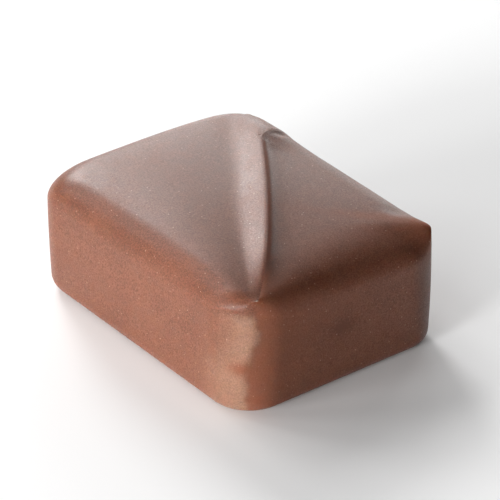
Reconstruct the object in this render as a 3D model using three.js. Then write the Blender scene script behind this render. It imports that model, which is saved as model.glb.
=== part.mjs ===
// Milk chocolate praline: a rectangular centre coated all round, with one raised fold across its top.
// Millimetres, +Z up, X along the long side, origin at the middle of the flat underside.

import * as THREE from "three";
import { ParametricGeometry } from "three/addons/geometries/ParametricGeometry.js";
import { mergeVertices } from "three/addons/utils/BufferGeometryUtils.js";

// Size of the coated block. The height is that of the top's rim, and the crown rises above it in the middle.
const LENGTH = 31.83;
const WIDTH = 24.17;
const HEIGHT = 11.93;
const CROWN = 0.84;

// Upright corners: the side of each axis a corner lies on, and its plan radius at the underside and the top.
const FOLD_START = { x: 1, y: -1, base: 4.5, top: 4.75 };
const FOLD_END = { x: -1, y: 1, base: 4.6, top: 5.9 };
const PLAIN = { x: -1, y: -1, base: 3.9, top: 3.95 };
const PINCHED = { x: 1, y: 1, base: 3.9, top: 5.0 };
const TIGHTEST_RADIUS = 0.6;

// Rounding from the top to each wall: how far in it starts, how far down it ends and how late it rolls off.
// The right wall's rounding widens toward the pinched corner. No rounding reaches past the crest of the fold.
const SHOULDER_WIDTH = { front: 3.5, right: 7.75, back: 4.25, left: 3.95 };
const SHOULDER_DROP = { front: 2.2, right: 2.66, back: 2.72, left: 3.15 };
const SHOULDER_ROLL = { front: 1.97, right: 2.93, back: 1.85, left: 1.95 };
const RIGHT_WIDENS = 0.75;
const REACH_SOFTNESS = 6;

// Walls lean in a little toward the underside and turn under at the foot.
const WALL_DRAFT = { front: 0.23, right: 0.26, back: 0.6, left: 0 };
const FOOT_RADIUS = 1.43;

// Crest of the fold in plan, a cubic curve, and the shares of it over which the fold rises and falls.
// Over the other two spans its two sides part at the start and meet again at the end.
const CREST = [
  new THREE.Vector2(15.3, -9.7),
  new THREE.Vector2(11.54, -4.78),
  new THREE.Vector2(-7.63, 8.79),
  new THREE.Vector2(-11.75, 10.56),
];
const CREST_ROUNDING = 0.18;
const FOLD_HEIGHT = 0.88;
const FOLD_RISES = [-0.01, 0.25];
const FOLD_FALLS = [0.76, 1];
const SIDES_PART = [0, 0.06];
const SIDES_MEET = [0.93, 1];
const END_SPREAD = 3.5;

// Long flank of the fold, and the arched panel from it to the plain corner.
const FLANK_WIDTH = 2.5;
const FLANK_GROWS = [-0.193, 0.468];
const FLANK_BEND = 6.5;
const PANEL_ARCH = 0.75;
const ARCH_FADE = 0.75;
const ARCH_REACH = 6;

// Short side of the fold: a steep step, and a valley that levels out toward the pinched corner.
const STEP_HEIGHT = 0.58;
const STEP_WIDTH = 0.58;
const VALLEY_WIDTH = 4.0;
const VALLEY_GROWTH = 0.72;

// Toward its end the step hooks away from the crest, softens and fades, and leaves a low cap and a dimple.
const HOOK = [0.738, 0.913];
const HOOK_REACH = 3.13;
const HOOK_SOFTENS = [0.69, 0.78];
const HOOK_SOFTNESS = 1.5;
const HOOK_FADE = 0.75;
const CAP_HEIGHT = 0.08;
const CAP_SPREAD = 2.5;
const DIMPLE = { x: -6.45, y: 9.7, depth: 0.2, wide: 0.5, long: 0.8 };

// Corner under the start of the fold: a tight shoulder creased into a lip, and below it an upright edge where
// the coat ran together. The edge bows to the right wall under the lip, and fades at the lip and at the foot.
const START_TIGHTNESS = 0.57;
const START_SPREAD = 3.74;
const LIP_CREASE = 0.36;
const EDGE_PROUD = 0.55;
const EDGE_SPREAD = { left: 2.2, right: 2.4 };
const EDGE_ROUNDING = 0.3;
const EDGE_LOW = -0.1;
const EDGE_HIGH = 0.9;
const EDGE_HIGH_AT = 9.0;
const EDGE_HIGH_SPREAD = 2.6;
const EDGE_RISES = [0, 5.2];
const EDGE_FADES = [9.0, 11.0];
const EDGE_FADE = 0.6;

// Pinched corner: a tight shoulder where the coat stands up in a blunt point, with a shallow scoop beside it.
const PINCH_SHIFT = 0.64;
const PINCH_TIGHTNESS = 0.6;
const PINCH_NARROWING = 0.15;
const PINCH_SPREAD = 1.8;
const PINCH_LIFT = 0.3;
const SCOOP = { x: 10.3, y: 9.6, depth: 0.15, wide: 1.3, long: 0.9 };

// Mesh: ribs from the start of the fold to its end, and rows from the crest down each half of a rib.
const RIBS = 96;
const TOP_ROWS = 14;
const SHOULDER_ROWS = 7;
const WALL_ROWS = 6;
const FOOT_ROWS = 2;
const HALF_ROWS = TOP_ROWS + SHOULDER_ROWS + WALL_ROWS + FOOT_ROWS;
const ROW_CROWDING = 1.6;
const WELD = 1e-3;

const { lerp, clamp, smoothstep } = THREE.MathUtils;
const QUARTER = Math.PI / 2;
const bump = (x) => Math.exp(-x * x);
const softRamp = (x) => Math.log1p(Math.exp(FLANK_BEND * x)) / Math.log1p(Math.exp(FLANK_BEND));

// A size given for the four walls, blended round the corners by the outward angle.
function bySide(angle, sizes) {
  const x = Math.cos(angle);
  const y = Math.sin(angle);
  return (x > 0 ? sizes.right : sizes.left) * x * x + (y > 0 ? sizes.back : sizes.front) * y * y;
}

// Plan point of the outline at a rib, moved in by inset. level is 0 at the underside and 1 at the top.
function outline(rib, inset, level) {
  const path = rib.corners.map((corner) => {
    const radius = Math.max(lerp(corner.base, corner.top, level) - inset, TIGHTEST_RADIUS);
    const x = corner.x * (LENGTH / 2 - inset - radius);
    const y = corner.y * (WIDTH / 2 - inset - radius);
    return new THREE.Vector3(x, y, radius);
  });
  const passed = rib.passed < 1 ? 0 : 1;
  const core = path[passed].lerp(path[passed + 1], rib.passed - passed);
  return new THREE.Vector2(core.x + core.z * Math.cos(rib.angle), core.y + core.z * Math.sin(rib.angle));
}

// How far the edge under the start of the fold stands out of a rib at height z.
function edgeProud(rib, z) {
  const bow = lerp(EDGE_LOW, EDGE_HIGH, bump((z - EDGE_HIGH_AT) / EDGE_HIGH_SPREAD));
  const past = rib.side * rib.arc - bow;
  const spread = past < 0 ? EDGE_SPREAD.left : EDGE_SPREAD.right;
  const height = smoothstep(z, ...EDGE_RISES) * (1 - EDGE_FADE * smoothstep(z, ...EDGE_FADES));
  return EDGE_PROUD * height * Math.exp((EDGE_ROUNDING - Math.hypot(past, EDGE_ROUNDING)) / spread);
}

// Half a rib at share s of the way round, by the plain corner (side -1) or the pinched one (side 1).
// Corners of the outline turn its outward angle, and straights count the corners passed.
function makeRib(side, s) {
  const corners = [FOLD_START, side < 0 ? PLAIN : PINCHED, FOLD_END];
  const [start, between, end] = corners.map((corner) => corner.top);
  const [first, second] = side < 0 ? [LENGTH, WIDTH] : [WIDTH, LENGTH];
  const turns = [QUARTER / 2, 0, QUARTER, 0, QUARTER / 2];
  const straights = [0, first - start - between, 0, second - between - end, 0];
  const runs = [start, 0, between, 0, end].map((radius, index) => radius * turns[index] + straights[index]);
  const arc = s * runs.reduce((sum, run) => sum + run, 0);
  let ahead = arc;
  let turn = 0;
  let passed = 0;
  runs.forEach((run, index) => {
    const share = clamp(ahead / run, 0, 1);
    ahead -= run;
    turn += share * turns[index];
    passed += straights[index] > 0 ? share : 0;
  });
  const angle = side * turn - QUARTER / 2;
  const point = runs[0] + runs[1] + runs[2] / 2 + PINCH_SHIFT;
  const pinch = side < 0 ? 0 : bump((arc - point) / PINCH_SPREAD);
  const lip = bump(arc / START_SPREAD);
  const size = 1 - START_TIGHTNESS * lip;
  const widening = 1 + RIGHT_WIDENS * s * Math.max(Math.cos(angle), 0) ** 2;
  const width = size * (1 - PINCH_NARROWING * pinch) * widening * bySide(angle, SHOULDER_WIDTH);
  const drop = size * (1 - PINCH_TIGHTNESS * pinch) * bySide(angle, SHOULDER_DROP);
  const crest = new THREE.CubicBezierCurve(...CREST).getPoint(s);
  const rib = { side, s, arc, angle, passed, corners, pinch, lip, drop, crest };
  rib.rim = outline(rib, -edgeProud(rib, HEIGHT - drop), 1);
  rib.reach = rib.rim.distanceTo(crest);
  rib.shoulder = (1 + (rib.reach / width) ** REACH_SOFTNESS) ** (-1 / REACH_SOFTNESS);
  return rib;
}

// Depth of a small hollow in the top at a plan point.
function hollow(plan, mark) {
  const x = (plan.x - mark.x) / mark.wide;
  const y = (plan.y - mark.y) / mark.long;
  return mark.depth * bump(Math.hypot(x, y));
}

// Height of the top at a plan point of a rib. The two sides of the fold agree at both of its ends.
function topHeight(rib, plan) {
  const { side, s, reach } = rib;
  const straight = plan.distanceTo(rib.crest);
  const distance = Math.hypot(straight, CREST_ROUNDING) - CREST_ROUNDING;
  const swell = FOLD_HEIGHT * smoothstep(s, ...FOLD_RISES) * (1 - smoothstep(s, ...FOLD_FALLS));
  const apart = smoothstep(s, ...SIDES_PART) * (1 - smoothstep(s, ...SIDES_MEET));
  const crown = CROWN * (1 - ((2 * plan.x) / LENGTH) ** 2) * (1 - ((2 * plan.y) / WIDTH) ** 2);
  const base = HEIGHT + crown - hollow(plan, DIMPLE) - hollow(plan, SCOOP);
  const end = swell * bump(distance / END_SPREAD);
  const hook = smoothstep(s, ...HOOK);
  if (side < 0) {
    const share = clamp(straight / reach, 0, 1);
    const arch = PANEL_ARCH * (1 - ARCH_FADE * s) * (1 - bump(reach / ARCH_REACH)) * 4 * share * (1 - share);
    const flank = swell * softRamp(1 - distance / (FLANK_WIDTH * smoothstep(s, ...FLANK_GROWS)));
    return base + lerp(end, flank + arch + CAP_HEIGHT * hook * bump(distance / CAP_SPREAD), apart);
  }
  const beyond = Math.max(distance - HOOK_REACH * hook, 0);
  const stepWidth = STEP_WIDTH * (1 + HOOK_SOFTNESS * smoothstep(s, ...HOOK_SOFTENS));
  const cap = Math.exp(-((beyond / stepWidth) ** (1 + hook)));
  const valley = Math.exp(-distance / (VALLEY_WIDTH * (1 + VALLEY_GROWTH * s)));
  const step = (STEP_HEIGHT / FOLD_HEIGHT) * (1 - HOOK_FADE * hook);
  return base + lerp(end, swell * lerp(valley, cap, step) + CAP_HEIGHT * hook * cap, apart);
}

// Point of half a rib: row 0 is the crest, then come the top, the shoulder, the wall and the foot.
function halfRib(side, s, row, target) {
  const rib = makeRib(side, s);
  const lift = PINCH_LIFT * rib.pinch;
  if (row <= TOP_ROWS + SHOULDER_ROWS) {
    const inner = (1 - rib.shoulder) * (row / TOP_ROWS) ** ROW_CROWDING;
    const outer = 1 - rib.shoulder * (1 - Math.sin((QUARTER * (row - TOP_ROWS)) / SHOULDER_ROWS));
    const out = row <= TOP_ROWS ? inner : outer;
    const roll = Math.max(1 - (1 - out) / rib.shoulder, 0);
    const rounded = 1 - Math.sqrt(Math.max(1 - roll ** bySide(rib.angle, SHOULDER_ROLL), 0));
    const fallen = rib.drop * lerp(rounded, roll ** 2, LIP_CREASE * rib.lip);
    const plan = rib.crest.clone().lerp(rib.rim, out);
    return target.set(plan.x, plan.y, topHeight(rib, plan) + lift * roll ** 2 - fallen);
  }
  const down = Math.min((row - TOP_ROWS - SHOULDER_ROWS) / WALL_ROWS, 1);
  const under = (QUARTER * Math.max(row - HALF_ROWS + FOOT_ROWS, 0)) / FOOT_ROWS;
  const wallTop = topHeight(rib, rib.rim) + lift - rib.drop;
  const z = lerp(wallTop, FOOT_RADIUS, down) - FOOT_RADIUS * Math.sin(under);
  const inset = bySide(rib.angle, WALL_DRAFT) * down ** 2 + FOOT_RADIUS * (1 - Math.cos(under));
  const plan = outline(rib, inset - edgeProud(rib, z), 1 - down);
  return target.set(plan.x, plan.y, z);
}

// The whole skin: u goes up one half of a rib, down the other and back across the flat underside.
function skin(u, v, target) {
  const row = u * (2 * HALF_ROWS + 1);
  if (row <= HALF_ROWS) {
    return halfRib(-1, v, HALF_ROWS - row, target);
  }
  if (row <= 2 * HALF_ROWS) {
    return halfRib(1, v, row - HALF_ROWS, target);
  }
  const back = halfRib(-1, v, HALF_ROWS, new THREE.Vector3());
  return halfRib(1, v, HALF_ROWS, target).lerp(back, row - 2 * HALF_ROWS);
}

const grid = new ParametricGeometry(skin, 2 * HALF_ROWS + 1, RIBS);
grid.deleteAttribute("normal");
grid.deleteAttribute("uv");
const coat = mergeVertices(grid, WELD);
coat.computeBoundingBox();
const middle = coat.boundingBox.getCenter(new THREE.Vector3());
coat.translate(-middle.x, -middle.y, 0);
coat.computeVertexNormals();

const chocolate = new THREE.MeshStandardMaterial({ color: 0x8f5f4b, roughness: 0.45, metalness: 0 });
const praline = new THREE.Mesh(coat, chocolate);
praline.name = "praline";

const part = new THREE.Group();
part.name = "chocolate_praline";
part.add(praline);

export default part;
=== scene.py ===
import math
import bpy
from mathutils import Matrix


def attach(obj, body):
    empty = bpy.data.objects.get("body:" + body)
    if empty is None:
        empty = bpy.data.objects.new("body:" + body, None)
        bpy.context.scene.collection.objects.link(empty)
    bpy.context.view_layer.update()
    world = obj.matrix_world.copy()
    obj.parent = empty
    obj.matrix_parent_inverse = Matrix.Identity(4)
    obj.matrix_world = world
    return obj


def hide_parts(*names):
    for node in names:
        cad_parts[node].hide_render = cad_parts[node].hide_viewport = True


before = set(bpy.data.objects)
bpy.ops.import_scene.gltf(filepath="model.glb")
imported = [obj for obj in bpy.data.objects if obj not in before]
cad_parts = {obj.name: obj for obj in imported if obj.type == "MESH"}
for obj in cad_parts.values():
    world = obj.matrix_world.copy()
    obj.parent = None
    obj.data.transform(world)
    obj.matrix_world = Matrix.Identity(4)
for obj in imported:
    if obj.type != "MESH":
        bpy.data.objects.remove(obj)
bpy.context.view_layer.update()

from types import SimpleNamespace

import bmesh
import bpy
import numpy as np

# The praline: a rectangular centre, cut from a slab and dipped in milk chocolate that set with a satin skin.
# Where the coat ran together it left a fold across the top, a lip at one corner and a point at another.
# All its sizes are in millimetres, and the mesh is turned to metres when it is made.
MILLIMETRE = 0.001

# The block, whose corners have one radius at the foot of the wall and one at the top
LENGTH = 31.83
WIDTH = 24.17
HEIGHT = 11.93
FOLD_START = SimpleNamespace(x=1, y=-1, base=4.5, top=4.75)
FOLD_END = SimpleNamespace(x=-1, y=1, base=4.6, top=5.9)
PLAIN = SimpleNamespace(x=-1, y=-1, base=3.9, top=3.95)
PINCHED = SimpleNamespace(x=1, y=1, base=3.9, top=5.0)
TIGHTEST_RADIUS = 0.6


def mix(a, b, share):
    """A straight blend: a where share is 0, b where it is 1."""
    return a + (b - a) * share


def ease(x, low, high):
    """0 up to low, 1 from high, and the cubic 3t^2 - 2t^3 between them."""
    t = np.clip((x - low) / (high - low), 0, 1)
    return t * t * (3 - 2 * t)


def bump(x):
    """A bell: e to the power of minus x squared."""
    return np.exp(-x * x)


def by_side(angle, sizes):
    """A size given for four walls, weighted by the squares of the outward direction's components."""
    x = np.cos(angle)
    y = np.sin(angle)
    return np.where(x > 0, sizes.right, sizes.left) * x * x + np.where(y > 0, sizes.back, sizes.front) * y * y


def outline(rib, inset, level):
    """The rounded rectangle moved in by inset, where each corner's radius goes from base to top with
    level: the core, a rectangle of arc centres, plus the radius along the outward angle."""
    cores = []
    for corner in rib.corners:
        radius = np.maximum(mix(corner.base, corner.top, level) - inset, TIGHTEST_RADIUS)
        x = corner.x * (LENGTH / 2 - inset - radius)
        y = corner.y * (WIDTH / 2 - inset - radius)
        cores.append(np.stack(np.broadcast_arrays(x, y, radius, rib.angle)[:3]))
    first = np.clip(rib.passed, 0, 1)
    second = np.clip(rib.passed - 1, 0, 1)
    x, y, radius = mix(mix(cores[0], cores[1], first), cores[2], second)
    return np.stack((x + radius * np.cos(rib.angle), y + radius * np.sin(rib.angle)))


# The ribs, from the crest of the fold out over a shoulder that is smaller at the lip and at the point
CREST = np.array(((15.3, -9.7), (11.54, -4.78), (-7.63, 8.79), (-11.75, 10.56)))
SHOULDER_WIDTH = SimpleNamespace(front=3.5, right=7.75, back=4.25, left=3.95)
SHOULDER_DROP = SimpleNamespace(front=2.2, right=2.66, back=2.72, left=3.15)
SHOULDER_ROLL = SimpleNamespace(front=1.97, right=2.93, back=1.85, left=1.95)
RIGHT_WIDENS = 0.75
START_TIGHTNESS = 0.57
START_SPREAD = 3.74
PINCH_SHIFT = 0.64
PINCH_SPREAD = 1.8
PINCH_TIGHTNESS = 0.6
PINCH_NARROWING = 0.15


def make_rib(side, s):
    """Half a rib at share s of the way round the top outline, by the plain (-1) or the pinched corner
    (1). Corners turn the outward angle evenly, straights count the corners passed, and the crest is a
    cubic curve. Bells round the start of the fold and the pinched corner take from the shoulder's width
    and drop."""
    corners = (FOLD_START, PLAIN if side < 0 else PINCHED, FOLD_END)
    turns = np.array((math.pi / 4, 0, math.pi / 2, 0, math.pi / 4))
    first, second = (LENGTH, WIDTH) if side < 0 else (WIDTH, LENGTH)
    start, between, end = (corner.top for corner in corners)
    straights = np.array((0, first - start - between, 0, second - between - end, 0))
    runs = turns * (start, 0, between, 0, end) + straights
    arc = s * runs.sum()
    shares = np.clip((arc[..., None] - np.cumsum(runs) + runs) / runs, 0, 1)
    rib = SimpleNamespace(side=side, s=s, arc=arc, corners=corners)
    rib.angle = side * (shares * turns).sum(-1) - math.pi / 4
    rib.passed = shares[..., 1::2].sum(-1)
    rib.pinch = bump((arc - runs[:2].sum() - runs[2] / 2 - PINCH_SHIFT) / PINCH_SPREAD) * (side > 0)
    rib.start = bump(arc / START_SPREAD)
    size = 1 - START_TIGHTNESS * rib.start
    widening = 1 + RIGHT_WIDENS * s * np.clip(np.cos(rib.angle), 0, 1) ** 2
    rib.width = size * (1 - PINCH_NARROWING * rib.pinch) * widening * by_side(rib.angle, SHOULDER_WIDTH)
    rib.drop = size * (1 - PINCH_TIGHTNESS * rib.pinch) * by_side(rib.angle, SHOULDER_DROP)
    rib.roll = by_side(rib.angle, SHOULDER_ROLL)
    weights = ((1 - s) ** 3, 3 * s * (1 - s) ** 2, 3 * s**2 * (1 - s), s**3)
    rib.crest = sum(weight * point.reshape(2, 1, 1) for weight, point in zip(weights, CREST))
    return rib


# The top, with the fold and three hollows, where each pair of values is a span of the share s
CROWN = 0.84
FOLD_HEIGHT = 0.88
FOLD_RISES = (-0.01, 0.25)
FOLD_FALLS = (0.76, 1)
CREST_ROUNDING = 0.18
HALVES_PART = (0, 0.06)
HALVES_MEET = (0.93, 1)
END_SPREAD = 3.5
FLANK_WIDTH = 2.5
FLANK_GROWS = (-0.193, 0.468)
FLANK_BEND = 6.5
PANEL_ARCH = 0.75
ARCH_FADE = 0.75
ARCH_REACH = 6
STEP_HEIGHT = 0.58
STEP_WIDTH = 0.58
VALLEY_WIDTH = 4.0
VALLEY_GROWTH = 0.72
HOOK = (0.738, 0.913)
HOOK_REACH = 3.13
HOOK_SOFTENS = (0.69, 0.78)
HOOK_SOFTNESS = 1.5
HOOK_FADE = 0.75
CAP_HEIGHT = 0.08
CAP_SPREAD = 2.5
DIMPLE = SimpleNamespace(x=-6.45, y=9.7, depth=0.2, wide=0.5, long=0.8)
PINHOLE = SimpleNamespace(x=-6.36, y=7.31, depth=0.05, wide=0.12, long=0.12)
SCOOP = SimpleNamespace(x=10.3, y=9.6, depth=0.15, wide=1.3, long=0.9)


def soft_ramp(x):
    """A softened ramp, the logarithm of 1 + e^(kx), scaled to be 1 at x = 1 and near 0 below x = 0."""
    return np.log1p(np.exp(FLANK_BEND * x)) / np.log1p(np.exp(FLANK_BEND))


def dent(plan, mark):
    """A bell-shaped hollow of a mark's depth, with one spread along X and one along Y."""
    return mark.depth * bump(np.hypot((plan[0] - mark.x) / mark.wide, (plan[1] - mark.y) / mark.long))


def top_height(rib, plan):
    """Height of the top: a crown that is 0 along the outline, and on it the fold. The flank is a soft
    ramp, and the panel beyond is a parabola between crest and rim. The other side is a steep step and a
    valley that levels out, where toward the end the step hooks away from the crest. Both halves agree at
    both ends of the fold."""
    s = rib.s
    straight = np.hypot(*(plan - rib.crest))
    distance = np.hypot(straight, CREST_ROUNDING) - CREST_ROUNDING
    swell = ease(s, *FOLD_RISES) * (1 - ease(s, *FOLD_FALLS))
    apart = ease(s, *HALVES_PART) * (1 - ease(s, *HALVES_MEET))
    crown = CROWN * (1 - (2 * plan[0] / LENGTH) ** 2) * (1 - (2 * plan[1] / WIDTH) ** 2)
    end = swell * FOLD_HEIGHT * bump(distance / END_SPREAD)
    hook = ease(s, *HOOK)
    if rib.side < 0:
        share = np.clip(straight / rib.reach, 0, 1)
        arch = PANEL_ARCH * (1 - ARCH_FADE * s) * (1 - bump(rib.reach / ARCH_REACH)) * 4 * share * (1 - share)
        ramp = soft_ramp(1 - distance / (FLANK_WIDTH * ease(s, *FLANK_GROWS)))
        fold = swell * FOLD_HEIGHT * ramp + arch
        cap = bump(distance / CAP_SPREAD)
    else:
        beyond = np.maximum(distance - HOOK_REACH * hook, 0)
        step_width = STEP_WIDTH * (1 + HOOK_SOFTNESS * ease(s, *HOOK_SOFTENS))
        cap = np.exp(-((beyond / step_width) ** (1 + hook)))
        valley = np.exp(-distance / (VALLEY_WIDTH * (1 + VALLEY_GROWTH * s)))
        step = STEP_HEIGHT / FOLD_HEIGHT * (1 - HOOK_FADE * hook)
        fold = swell * FOLD_HEIGHT * mix(valley, cap, step)
    marks = dent(plan, DIMPLE) + dent(plan, PINHOLE) + dent(plan, SCOOP)
    return HEIGHT + crown + mix(end, fold + CAP_HEIGHT * hook * cap, apart) - marks


# The upright edge under the start of the fold, where a run of coat was drawn out of the corner
EDGE_PROUD = 0.55
EDGE_RISES_BY = 5.2
EDGE_FADES = (9.0, 11.0)
EDGE_FADE = 0.6
EDGE_LEFT_SPREAD = 2.2
EDGE_RIGHT_SPREAD = 2.4
EDGE_ROUNDING = 0.3
EDGE_LOW = -0.1
EDGE_HIGH = 0.9
EDGE_HIGH_AT = 9.0
EDGE_HIGH_SPREAD = 2.6
RUN_END = (0.15, 0.9)
RUN_STEP = 0.14
RUN_THICKENS = (3.5, 6.5)
WAVER = 0.13
WAVER_LENGTHS = (2.6, 1.1)


def past_edge(rib, z):
    """Distance along the outline to the right of the edge under the start of the fold, which bows to the
    right in a bell below the lip."""
    return rib.side * rib.arc - mix(EDGE_LOW, EDGE_HIGH, bump((z - EDGE_HIGH_AT) / EDGE_HIGH_SPREAD))


def past_run(rib, z):
    """0 on the run of coat along that edge and 1 past the end of it, a line that wavers by two sines, the
    second half as wide as the first."""
    waver = np.sin(2 * math.pi * z / WAVER_LENGTHS[0]) + np.sin(2 * math.pi * z / WAVER_LENGTHS[1]) / 2
    return ease(past_edge(rib, z) - WAVER * waver, *RUN_END)


def edge_proud(rib, z):
    """How far that edge stands out of the corner: e to the power of minus the distance from it, over a
    spread for each side, with its tip rounded. Past the tip it drops in a small step along the end of the
    run."""
    past = past_edge(rib, z)
    spread = np.where(past < 0, EDGE_LEFT_SPREAD, EDGE_RIGHT_SPREAD)
    height = ease(z, 0, EDGE_RISES_BY) * (1 - EDGE_FADE * ease(z, *EDGE_FADES))
    step = RUN_STEP * ease(z, *RUN_THICKENS) * past_run(rib, z)
    return EDGE_PROUD * height * (1 - step) * np.exp((EDGE_ROUNDING - np.hypot(past, EDGE_ROUNDING)) / spread)


# Where the skin gets a painted pale sheen, a painted warm glow of light coming through, and where it is dull
SHARES = ("painted_sheen", "painted_glow", "dull")
SHEEN_LOW_SPREAD = 3.3
SHEEN_HIGH_SPREAD = 2.3
SHEEN_NARROWS = (4.2, 6.5)
SHEEN_TOP = (10.1, 11.0)
GAP_AT = 5.3
GAP_SPREAD = 0.6
GAP_WIDTH = 1.1
GAP_WARMTH = 0.6
SEAM_AT = 0.27
SEAM_SPREAD = 0.2
SEAM_WARMTH = 0.8
RUN_WARMTH = 0.6
RUN_WARM_SPREAD = 6.0
POINT_SPREAD = 1.1
DULL_ARC = 10.3
DULL_WIDE = 1.1
DULL_Z = 6.3
DULL_HIGH = 0.8


def gap_share(rib, z):
    """A bell in height and along the outline, where a patch of painted warm glow breaks the painted sheen of
    that edge.
    """
    return bump((z - GAP_AT) / GAP_SPREAD) * bump(past_edge(rib, z) / GAP_WIDTH)


def painted_sheen_share(rib, z):
    """How much pale painted sheen, a painted highlight, lies on the skin: a bell on the left of that edge
    that ends with its run, under the lip and at the patch of painted glow."""
    left = np.minimum(past_edge(rib, z), 0)
    spread = mix(SHEEN_LOW_SPREAD, SHEEN_HIGH_SPREAD, ease(z, *SHEEN_NARROWS))
    kept = (1 - past_run(rib, z)) * (1 - ease(z, *SHEEN_TOP)) * (1 - gap_share(rib, z))
    return bump(left / spread) * kept


def painted_glow_share(rib, plan, z, wall_top):
    """How much painted warm glow, standing in for light coming through thin coat, lies on the skin: bells
    past the run of that edge, at its warm patch, beside the crest of the fold up to its hook, and above and
    below the rim of the pinched corner."""
    right = np.maximum(past_edge(rib, z), 0)
    run = RUN_WARMTH * past_run(rib, z) * bump(right / RUN_WARM_SPREAD)
    gap = GAP_WARMTH * gap_share(rib, z) * (1 - past_run(rib, z))
    beside = ease(rib.s, *FOLD_RISES) * (1 - ease(rib.s, *HOOK_SOFTENS)) * (rib.side > 0)
    seam = SEAM_WARMTH * beside * bump((np.hypot(*(plan - rib.crest)) - SEAM_AT) / SEAM_SPREAD)
    point = rib.pinch * bump((z - wall_top) / POINT_SPREAD)
    return run + gap + seam + point


def dull_share(rib, z):
    """A dull cloud on the right wall: a bell along the outline and in height."""
    return bump((rib.side * rib.arc - DULL_ARC) / DULL_WIDE) * bump((z - DULL_Z) / DULL_HIGH)


# The skin, made of all the ribs as one closed mesh
WALL_DRAFT = SimpleNamespace(front=0.23, right=0.26, back=0.6, left=0.0)
FOOT_RADIUS = 1.43
REACH_SOFTNESS = 6
LIP_CREASE = 0.36
PINCH_LIFT = 0.3
RIBS = 420
TOP_ROWS = 40
SHOULDER_ROWS = 22
WALL_ROWS = 44
FOOT_ROWS = 8
ROW_CROWDING = 1.6
MERGED_WITHIN = 0.0001
DISSOLVED_WITHIN = 0.00001


def half_coat(side, s, row):
    """Half of the skin, as places followed by shares. A row goes 0 to 1 out from the crest, to 2 round
    the shoulder, to 3 down the wall and to 4 round the foot. At the share u of its width the shoulder has
    fallen by 1 - sqrt(1 - u^n) of its drop, so it rolls off slowly and ends upright, and at the lip this
    nears u^2, which ends in a crease. The wall has a little draft, and the foot is a quarter circle."""
    rib = make_rib(side, s)
    bend = np.clip(row - 1, 0, 1) * math.pi / 2
    down = np.clip(row - 2, 0, 1)
    foot = np.clip(row - 3, 0, 1) * math.pi / 2
    rim = outline(rib, -edge_proud(rib, HEIGHT - rib.drop), 1)
    rib.reach = np.hypot(*(rim - rib.crest))
    width = (1 + (rib.reach / rib.width) ** REACH_SOFTNESS) ** (-1 / REACH_SOFTNESS)
    out = np.where(row < 1, (1 - width) * np.clip(row, 0, 1) ** ROW_CROWDING, 1 - width * (1 - np.sin(bend)))
    roll = np.clip(1 - (1 - out) / width, 0, 1)
    wall_top = top_height(rib, rim) + PINCH_LIFT * rib.pinch - rib.drop
    wall_z = mix(wall_top, FOOT_RADIUS, down) - FOOT_RADIUS * np.sin(foot)
    draft = by_side(rib.angle, WALL_DRAFT) * down**2
    inset = draft + FOOT_RADIUS * (1 - np.cos(foot)) - edge_proud(rib, wall_z)
    plan = np.where(row < 2, mix(rib.crest, rim, out), outline(rib, inset, 1 - down))
    fallen = mix(1 - np.sqrt(np.clip(1 - roll**rib.roll, 0, 1)), roll**2, LIP_CREASE * rib.start)
    top_z = top_height(rib, plan) + PINCH_LIFT * rib.pinch * roll**2 - rib.drop * fallen
    z = np.where(row > 2, wall_z, top_z)
    shares = (painted_sheen_share(rib, z), painted_glow_share(rib, plan, z, wall_top), dull_share(rib, z))
    return np.stack((*plan, z, *shares), -1)


def row_steps():
    """Row values of a half, evenly spaced in each of the four zones."""
    counts = (TOP_ROWS, SHOULDER_ROWS, WALL_ROWS, FOOT_ROWS)
    return np.concatenate([[0.0]] + [zone + np.arange(1, n + 1) / n for zone, n in enumerate(counts)])


def closed_mesh(name, loops, shares):
    """A mesh of closed loops, where quads join each loop to the next. The first and the last loop are
    folded flat, so merging doubles closes both ends. The shares of each point go with it as
    attributes."""
    count, size = loops.shape[:2]
    index = np.arange(count * size).reshape(count, size)
    after = np.roll(index, -1, axis=1)
    quads = np.stack((index[:-1], after[:-1], after[1:], index[1:]), -1).reshape(-1, 4)
    mesh = bpy.data.meshes.new(name)
    mesh.from_pydata(loops.reshape(-1, 3) * MILLIMETRE, [], quads.tolist())
    for key, values in shares.items():
        attribute = mesh.attributes.new(key, "FLOAT", "POINT")
        attribute.data.foreach_set("value", values.astype(np.float32).ravel())
    work = bmesh.new()
    work.from_mesh(mesh)
    bmesh.ops.remove_doubles(work, verts=work.verts, dist=MERGED_WITHIN * MILLIMETRE)
    bmesh.ops.dissolve_degenerate(work, edges=work.edges, dist=DISSOLVED_WITHIN * MILLIMETRE)
    bmesh.ops.recalc_face_normals(work, faces=work.faces)
    work.to_mesh(mesh)
    work.free()
    mesh.shade_smooth()
    return mesh


rib_steps = np.linspace(0, 1, RIBS + 1).reshape(-1, 1)
plain_half = half_coat(-1, rib_steps, row_steps())
pinched_half = half_coat(1, rib_steps, row_steps())
skin = np.concatenate((plain_half[:, ::-1], pinched_half[:, 1:]), axis=1)
places = skin[..., :3]
middle = (places.min((0, 1)) + places.max((0, 1))) / 2 * (1, 1, 0)
shares = dict(zip(SHARES, np.moveaxis(skin[..., 3:], -1, 0)))
praline = bpy.data.objects.new("praline_coat", closed_mesh("praline_coat", places - middle, shares))
bpy.context.collection.objects.link(praline)

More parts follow.
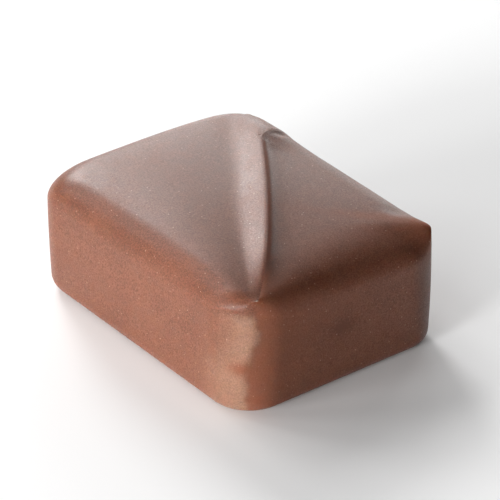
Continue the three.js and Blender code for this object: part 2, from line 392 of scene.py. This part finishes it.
# The milk chocolate, a brown that varies in clouds, pits and grain and holds specks of milk and cocoa
DARK_COAT = (0.118, 0.0455, 0.0262, 1)
PALE_COAT = (0.192, 0.0765, 0.0458, 1)
# The next two are a painted sheen: paler browns that stand in for a highlight on the edge under the start of
# the fold
DARK_PAINTED_SHEEN = (0.212, 0.113, 0.075, 1)
PALE_PAINTED_SHEEN = (0.295, 0.163, 0.11, 1)
# A painted warm glow, a colour that stands in for light coming through thin coat
GLOW_COAT = (0.25, 0.086, 0.045, 1)
MILK = (0.42, 0.25, 0.18, 1)
COCOA = (0.06, 0.02, 0.011, 1)
SPECKS = (
    SimpleNamespace(colour=MILK, share=0.7, spacing=0.75, radius=0.075),
    SimpleNamespace(colour=MILK, share=0.35, spacing=0.48, radius=0.06),
    SimpleNamespace(colour=COCOA, share=0.5, spacing=1.1, radius=0.08),
)
CLOUDS = SimpleNamespace(size=5.0, detail=3.0, shade=0.9, rough=0.15)
PITS = SimpleNamespace(size=0.9, detail=3.0, shade=0.8, rough=0.15, relief=0.7)
GRAIN = SimpleNamespace(size=0.13, detail=2.0, shade=3.5, rough=-0.4, relief=1.2)
NOISE_MEAN = 0.5
EVEN_SHADE = 0.5
DULL_DARKENS = 0.9
DULL_PITS = 3.0
GLOW_SHOWS = 0.9
SATIN_ROUGHNESS = 0.42
GLOW_ROUGHENS = 0.4
RELIEF_DEPTH = 0.02
RELIEF_STRENGTH = 0.5
EVEN_FINISH = {
    "Specular IOR Level": 0.19,
    "Subsurface Weight": 1.0,
    "Subsurface Radius": (1.0, 0.35, 0.18),
    "Subsurface Scale": 1.2 * MILLIMETRE,
}


class Wire:
    """A value or colour in a material. Operators on values add Math nodes, and node adds any other kind."""

    MIX_SHARE, MIX_LOW, MIX_HIGH = 0, 6, 7
    MIX_COLOUR = 2

    def __init__(self, tree, socket=None):
        self.tree = tree
        self.socket = socket

    def node(self, kind, settings, inputs, output=0):
        """A new node with its settings, then the values or wires of its inputs, as a wire from one
        output."""
        made = self.tree.nodes.new("ShaderNode" + kind)
        for name, value in settings.items():
            setattr(made, name, value)
        for key, value in inputs.items():
            if isinstance(value, Wire):
                self.tree.links.new(value.socket, made.inputs[key])
            else:
                made.inputs[key].default_value = value
        return Wire(self.tree, made.outputs[output])

    def math(self, operation, *values):
        """One operation of a Math node on values or wires."""
        return self.node("Math", {"operation": operation}, dict(enumerate(values)))

    # Each operator adds one Math node, and the reflected ones take a number on the left.
    def __add__(self, other):
        return self.math("ADD", self, other)

    def __sub__(self, other):
        return self.math("SUBTRACT", self, other)

    def __rsub__(self, other):
        return self.math("SUBTRACT", other, self)

    def __mul__(self, other):
        return self.math("MULTIPLY", self, other)

    __radd__ = __add__
    __rmul__ = __mul__

    def noise(self, kind):
        """Cloudy noise about 0, whose blobs are kind.size millimetres across."""
        inputs = {"Vector": self, "Scale": 1 / (kind.size * MILLIMETRE), "Detail": kind.detail}
        return self.node("TexNoise", {}, inputs) - NOISE_MEAN

    def specks(self, kind):
        """1 inside round specks, with a radius and a mean spacing in millimetres, and 0 between them."""
        inputs = {"Vector": self, "Scale": 1 / (kind.spacing * MILLIMETRE)}
        distance = self.node("TexVoronoi", {}, inputs, "Distance")
        edge = kind.radius / kind.spacing
        limits = {"From Min": edge, "From Max": edge / 2, "Value": distance}
        return self.node("MapRange", {"interpolation_type": "SMOOTHSTEP"}, limits)

    def blend(self, low, high):
        """The colour low where this is 0 and high where it is 1, by the colour sockets of a Mix node."""
        inputs = {self.MIX_SHARE: self, self.MIX_LOW: low, self.MIX_HIGH: high}
        return self.node("Mix", {"data_type": "RGBA"}, inputs, self.MIX_COLOUR)


chocolate = bpy.data.materials.new("milk_chocolate")
chocolate.use_nodes = True
tree = chocolate.node_tree
shader = tree.nodes["Principled BSDF"]
for name, value in EVEN_FINISH.items():
    shader.inputs[name].default_value = value
place = Wire(tree).node("TexCoord", {}, {}, "Object")
clouds = place.noise(CLOUDS)
grain = place.noise(GRAIN)
pits = place.noise(PITS)
painted_sheen, painted_glow, dull = (place.node("Attribute", {"attribute_name": name}, {}, "Fac") for name in SHARES)
coat_shade = EVEN_SHADE + CLOUDS.shade * clouds + PITS.shade * pits + GRAIN.shade * grain
coat_shade = coat_shade - dull * (DULL_DARKENS + DULL_PITS * pits)
# Along the edge under the start of the fold a paler brown is blended in: a painted highlight (sheen).
coat_colour = coat_shade.blend(painted_sheen.blend(DARK_COAT, DARK_PAINTED_SHEEN), painted_sheen.blend(PALE_COAT, PALE_PAINTED_SHEEN))
# A warm colour is blended in beside the crest, past the run and at the point: a painted glow of light coming
# through.
coat_colour = (GLOW_SHOWS * painted_glow).blend(coat_colour, GLOW_COAT)
for speck in SPECKS:
    coat_colour = (speck.share * place.specks(speck)).blend(coat_colour, speck.colour)
roughness = SATIN_ROUGHNESS + PITS.rough * pits + CLOUDS.rough * clouds + GRAIN.rough * grain
# The coat is also made rougher where the warm glow is painted.
roughness = roughness + GLOW_ROUGHENS * painted_glow
height = GRAIN.relief * grain + PITS.relief * pits
relief = {"Strength": RELIEF_STRENGTH, "Distance": RELIEF_DEPTH * MILLIMETRE, "Height": height}
tree.links.new(coat_colour.socket, shader.inputs["Base Color"])
tree.links.new(roughness.socket, shader.inputs["Roughness"])
tree.links.new(place.node("Bump", {}, relief).socket, shader.inputs["Normal"])
praline.data.materials.append(chocolate)
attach(praline, "root")
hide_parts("praline")

# The floor: the level table that the piece stands on, covered with a sheet of pale matt paper.
# It is one square face at the height of the underside, in metres, and it belongs to the stage.
FLOOR_SIZE = 4.0
FLOOR_FINISH = {"Base Color": (0.9, 0.9, 0.9, 1), "Roughness": 0.9}
floor_mesh = bpy.data.meshes.new("floor")
corner = FLOOR_SIZE / 2
floor_points = [(-corner, -corner, 0), (corner, -corner, 0), (corner, corner, 0), (-corner, corner, 0)]
floor_mesh.from_pydata(floor_points, [], [(0, 1, 2, 3)])
floor = bpy.data.objects.new("floor", floor_mesh)
bpy.context.collection.objects.link(floor)
paper = bpy.data.materials.new("paper_sweep")
paper.use_nodes = True
for name, value in FLOOR_FINISH.items():
    paper.node_tree.nodes["Principled BSDF"].inputs[name].default_value = value
floor_mesh.materials.append(paper)

# The camera: a long lens about 0.3 m from the piece, looking along the fold from 31 degrees above the floor.
# Its aim is a point inside the block, and a small shift of the lens puts that point on its pixel.
AZIMUTH = math.radians(52.54)
ELEVATION = math.radians(30.65)
DISTANCE = 0.2979
FOCAL_PIXELS = 3249.6
PICTURE_SIZE = 500
SENSOR = 36.0
NEAR_CLIP = 0.01
AIM_HEIGHT = 0.006
AIM_PIXEL = (238.9, 254.2)
aim = np.array((0, 0, AIM_HEIGHT)) - middle * MILLIMETRE


def direction(azimuth, elevation):
    """The unit vector toward a place at an azimuth, counted from the front of the block to its right
    side, and an elevation above the floor: products of the sines and cosines of the two angles."""
    flat = math.cos(elevation)
    return np.array((math.sin(azimuth) * flat, -math.cos(azimuth) * flat, math.sin(elevation)))


camera_data = bpy.data.cameras.new("camera")
camera_data.sensor_width = SENSOR
camera_data.lens = FOCAL_PIXELS / PICTURE_SIZE * SENSOR
camera_data.shift_x = 0.5 - AIM_PIXEL[0] / PICTURE_SIZE
camera_data.shift_y = AIM_PIXEL[1] / PICTURE_SIZE - 0.5
camera_data.clip_start = NEAR_CLIP
camera = bpy.data.objects.new("camera", camera_data)
bpy.context.collection.objects.link(camera)
camera.location = aim + DISTANCE * direction(AZIMUTH, ELEVATION)
camera.rotation_euler = (math.pi / 2 - ELEVATION, 0, AZIMUTH)
bpy.context.scene.camera = camera

# The light: round soft boxes in a dark room, each 0.6 m from the piece and turned to its middle.
# Those in front light the two near walls, and those behind shine in the satin of the top and the shoulders.
# Each has its azimuth from the camera in degrees, left being negative, its elevation and its watts.
BOX_DISTANCE = 0.6
BOX_SIZE = 0.2
SOFT_BOXES = {
    "key_left": (-60, 10, 1.7),
    "left_high": (-88, 30, 0.55),
    "key_middle": (-40, 10, 4.2),
    "key_front": (-20, 10, 0.87),
    "left_rear_near": (-113, 36, 0.8),
    "left_rear_middle": (-137, 46, 0.7),
    "left_rear_far": (-160, 28, 2.42),
    "rear_middle": (-180, 10, 0.6),
    "rear_high": (-180, 28, 0.33),
    "rear_right": (160, 10, 0.45),
    "rear_right_high": (160, 28, 0.22),
}
for name, (azimuth, elevation, power) in SOFT_BOXES.items():
    lamp = bpy.data.lights.new(name, "AREA")
    lamp.shape = "DISK"
    lamp.size = BOX_SIZE
    lamp.energy = power
    box = bpy.data.objects.new(name, lamp)
    bpy.context.collection.objects.link(box)
    turn = AZIMUTH + math.radians(azimuth)
    rise = math.radians(elevation)
    box.location = aim + BOX_DISTANCE * direction(turn, rise)
    box.rotation_euler = (math.pi / 2 - rise, 0, turn)
room = bpy.data.worlds.new("room")
room.use_nodes = True
room.node_tree.nodes["Background"].inputs["Strength"].default_value = 0.0
bpy.context.scene.world = room
bpy.context.scene.view_settings.view_transform = "Standard"
